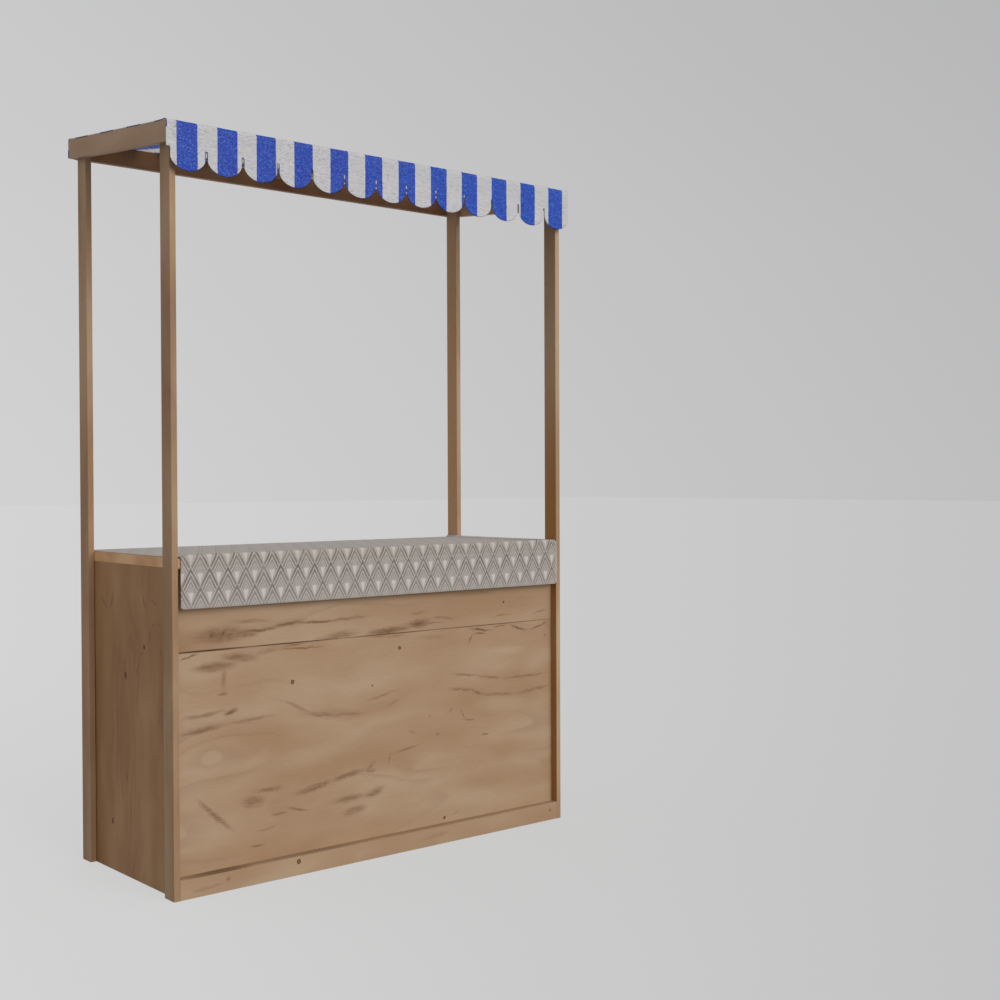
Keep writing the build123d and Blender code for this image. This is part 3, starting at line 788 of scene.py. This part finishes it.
def tableProfile():
    # rows of (y, z), from the hem of the front drop over the counter to the hem at the back
    face, top = drape["counterHalf"] + drape["offset"], drape["counterTop"]
    crest, flat = top + drape["frontRise"], top + drape["flatRise"]
    front, back = drape["frontRadius"], drape["backRadius"]
    start, end = -face + front, face - back
    frontSteps, topSteps, backSteps = 24, 64, 15
    rows = [(-face, mix(drape["frontLow"], crest - front, i / frontSteps)) for i in range(frontSteps)]
    rows += [row[:2] for row in arc(start, crest - front, front, math.pi, math.pi / 2)]
    for i in range(1, topSteps):
        y = mix(start, end, i / topSteps)
        rows.append((y, mix(crest, flat, ease((y - start) / drape["foldReach"]))))
    rows += [row[:2] for row in arc(end, flat - back, back, math.pi / 2, 0.0)]
    rows += [(face, mix(flat - back, drape["backLow"], i / backSteps)) for i in range(1, backSteps + 1)]
    return rows


def buildTableCloth(material):
    rows = tableProfile()
    lengths = runningLengths(rows)
    left, right, top = drape["left"], drape["right"], drape["counterTop"]
    half = drape["counterHalf"]
    steps = 230
    verts, uvs, faces = [], [], []
    for r, (y, z) in enumerate(rows):
        for c in range(steps + 1):
            x = mix(left, right, c / steps)
            toLeft, toRight = x - left, right - x
            endShare = ease(1 - min(toLeft, toRight) / drape["endReach"])
            ripple = noise.noise(Vector((x * 7, lengths[r] * 5, 1.3)))
            fine = noise.noise(Vector((x * 45, lengths[r] * 45, 5.9)))
            if z > top - 0.001:
                lift = (z - top) * (1 - drape["endFlat"] * endShare)
                if abs(y) < half:
                    lift = max(lift, drape["endCurl"] * ease(1 - toRight / drape["curlReach"]))
                newZ = top + lift + drape["ripple"] * ripple + drape["fine"] * fine
                newY = y * (1 - drape["endDraw"] * endShare * ease((z - top) / drape["frontRise"]))
                if abs(newY) < half + drape["clear"]:
                    newZ = max(newZ, top + drape["clear"])
            else:
                low = drape["frontLow"] if y < 0 else drape["backLow"]
                fall = (top - z) / (top - low)
                wave = drape["swing"] * ripple * fall + drape["fine"] * fine
                outward = drape["standOff"] + wave - drape["endTuck"] * endShare
                newY = y + math.copysign(outward, y)
                # the corners of both drops are rounded, the right one at the back the most
                corner, rise = (0.012, 0.005) if y < 0 else (0.03 if toRight < toLeft else 0.02, 0.011)
                beyond = min(1.0, max(0.0, 1 - min(toLeft, toRight) / corner))
                newZ = z + fall * rise * (1 - math.sqrt(1 - beyond * beyond))
            verts.append((x, newY, newZ))
            uvs.append((x + right, lengths[r]))
    across = steps + 1
    for r in range(len(rows) - 1):
        for c in range(steps):
            a = r * across + c
            faces.append((a, a + 1, a + 1 + across, a + across))
    cloth = meshPiece("patterned_counter_cloth", verts, faces, material, uvs, drape["thickness"])
    finishPiece(cloth, "patterned_table_cloth", "counter_cloth_top", "counter_cloth_front", "counter_cloth_back")
    return cloth


# the print of a diamond from its edge inwards: from, to, and the grey there, or those at both ends
bands = [(0.0, 0.022, "#C2B9B1"), (0.032, 0.155, "#6D655E", "#6E665F"), (0.168, 0.208, "#BFB6AE"),
         (0.22, 0.325, "#716962", "#776F68"), (0.338, 0.388, "#BDB4AC", "#B9B0A8"), (0.4, 0.46, "#827971", "#857C74"),
         (0.47, 0.505, "#B9B0A8"), (0.515, 0.56, "#938A82"), (0.57, 0.59, "#B5ACA4"), (0.6, 0.635, "#9C938B"),
         (0.645, 0.662, "#B5ACA4"), (0.67, 0.705, "#A39A92"), (0.715, 0.735, "#B2A9A1"), (0.745, 1.0, "#A79E96")]
chevrons = [stop for start, end, *greys in bands for stop in ((start, greys[0]), (end, greys[-1]))]


def printedCotton(name):
    # plain-woven cotton printed in greys: rows of tall diamonds, each filled with chevrons and ending in a pale tip
    material, add = emptyMaterial(name)
    where = add("UVMap", {"uv_map": "cloth"})
    bent = where
    # the cloth is pulled a little out of square, and the threads make the edges of the print uneven
    for scale, reach in ((11.0, 0.004), (320.0, 0.0016)):
        wobble = add("TexNoise", inputs={"Vector": where, "Scale": scale, "Detail": 1.0})
        centred = add("VectorMath", "SUBTRACT", [(wobble, "Color"), noiseMean])
        bent = add("VectorMath", "MULTIPLY_ADD", [centred, (reach, reach, 0.0), bent])
    split = add("SeparateXYZ", inputs=[bent])
    sideways = add("Math", "MULTIPLY_ADD", [(split, "X"), 1 / drape["pitch"], -drape["phaseAcross"] / drape["pitch"]])
    downward = add("Math", "MULTIPLY_ADD", [(split, "Y"), -1 / drape["diamond"], drape["phaseAlong"] / drape["diamond"]])
    fromLeft, fromRight = (add("Math", "FRACT", [add("Math", way, [downward, sideways])]) for way in ("ADD", "SUBTRACT"))
    depth = add("Math", "MINIMUM", [fromLeft, fromRight])
    printed = add("ValToRGB", inputs=[depth], stops=chevrons)
    # each chevron is darkest at its point and fades along its arms, and the whole print is paler towards the front hem,
    # a painted sheen
    along = add("Math", "ABSOLUTE", [add("Math", "SUBTRACT", [fromLeft, fromRight])])
    armFade = add("MapRange", inputs=[along, 0.2, 0.9, 0.0, 0.42])
    hemSheen = add("MapRange", inputs=[(split, "Y"), 0.0, 0.1, 0.58, 0.0])
    # the print is paler in patches on the front drop and the top, partly thin ink and partly painted sheen, and paler
    # all over the top of the counter
    thin = add("TexNoise", inputs={"Vector": where, "Scale": 26.0, "Detail": 2.0})
    inkGone = add("MapRange", inputs=[thin, 0.35, 0.65, 0.14, 0.54])
    frontAndTop = add("Math", "LESS_THAN", [(split, "Y"), 0.7])
    thinInkAndSheen = add("Math", "MULTIPLY", [inkGone, frontAndTop])
    paleTopStart = add("MapRange", "SMOOTHSTEP", [(split, "Y"), 0.146, 0.158, 0.0, 0.72])
    paleTopEnd = add("MapRange", "SMOOTHSTEP", [(split, "Y"), 0.705, 0.725, 1.0, 0.0])
    paleTop = add("Math", "MULTIPLY", [paleTopStart, paleTopEnd])
    paler = armFade
    for fade in (hemSheen, thinInkAndSheen, paleTop):
        paler = add("Math", "MAXIMUM", [paler, fade])
    rowed = add("Mix", "RGBA", [paler, printed, toLinear("#A9A098")])
    # the pale tip at the foot of each diamond is a triangle with a straight top
    doubled = add("Math", "ADD", [fromLeft, fromRight])
    below = add("MapRange", "SMOOTHSTEP", [doubled, 1.34, 1.44])
    inside = add("Math", "SUBTRACT", [add("Math", "MULTIPLY_ADD", [doubled, -0.53, 1.06]), along])
    between = add("MapRange", "SMOOTHSTEP", [inside, -0.02, 0.05, 0.0, 0.85])
    tipInk = add("Math", "MULTIPLY", [below, between])
    tip = add("Math", "MULTIPLY", [tipInk, add("Math", "MULTIPLY_ADD", [paleTop, -1.0, 1.0])])
    tipped = add("Mix", "RGBA", [tip, rowed, toLinear("#C1BBB4")])
    # the hem and the right end show the cloth's pale edge, the end with a dark tick in each row of the print
    straight = add("SeparateXYZ", inputs=[where])
    hem = add("Math", "LESS_THAN", [(straight, "Y"), drape["hem"]])
    end = add("Math", "GREATER_THAN", [(straight, "X"), 2 * drape["right"] - drape["paleEnd"]])
    rows = add("Math", "MULTIPLY_ADD", [(straight, "Y"), 1 / drape["diamond"], -drape["phaseAlong"] / drape["diamond"]])
    fromTick = add("Math", "SUBTRACT", [add("Math", "FRACT", [rows]), 0.235])
    plain = add("Math", "GREATER_THAN", [add("Math", "ABSOLUTE", [fromTick]), 0.11])
    paleEnd = add("Math", "MULTIPLY", [end, plain])
    edgeShare = add("Math", "MULTIPLY", [add("Math", "MAXIMUM", [hem, paleEnd]), 0.4])
    edged = add("Mix", "RGBA", [edgeShare, tipped, toLinear("#C8C1B9")])
    # where the cloth hangs clear of the wood, light comes through it
    frontHang = add("MapRange", inputs=[(straight, "Y"), 0.104, 0.112, 1.0, 0.0])
    backHang = add("MapRange", inputs=[(straight, "Y"), 0.745, 0.753])
    hanging = add("Math", "MAXIMUM", [frontHang, backHang])
    weave = add("TexNoise", inputs={"Vector": where, "Scale": 900.0, "Detail": 1.0})
    weaveTone = add("MapRange", inputs=[weave, 0.3, 0.7, 0.9, 1.1])
    gain = add("Mix", "RGBA", [hanging, noTint, drape["hangingGain"]])
    toned = add("VectorMath", "SCALE", {0: add("VectorMath", "MULTIPLY", [edged, gain]), "Scale": weaveTone})
    relief = add("Bump", inputs={"Height": weave, "Strength": 0.3, "Distance": 0.0004})
    threads = add("BsdfPrincipled", inputs={"Base Color": toned, "Normal": relief, "Roughness": 0.88,
                  "Specular IOR Level": 0.2, "Sheen Weight": 0.1})
    through = add("BsdfTranslucent", inputs={"Color": toned, "Normal": relief})
    share = add("Math", "MULTIPLY", [hanging, drape["lightThrough"]])
    shader = add("MixShader", inputs=[share, threads, through])
    add("OutputMaterial", inputs=[shader])
    return material


cotton = printedCotton("printedCotton")
counterCloth = buildTableCloth(cotton)
print("counter cloth:", len(counterCloth.data.polygons), "faces")
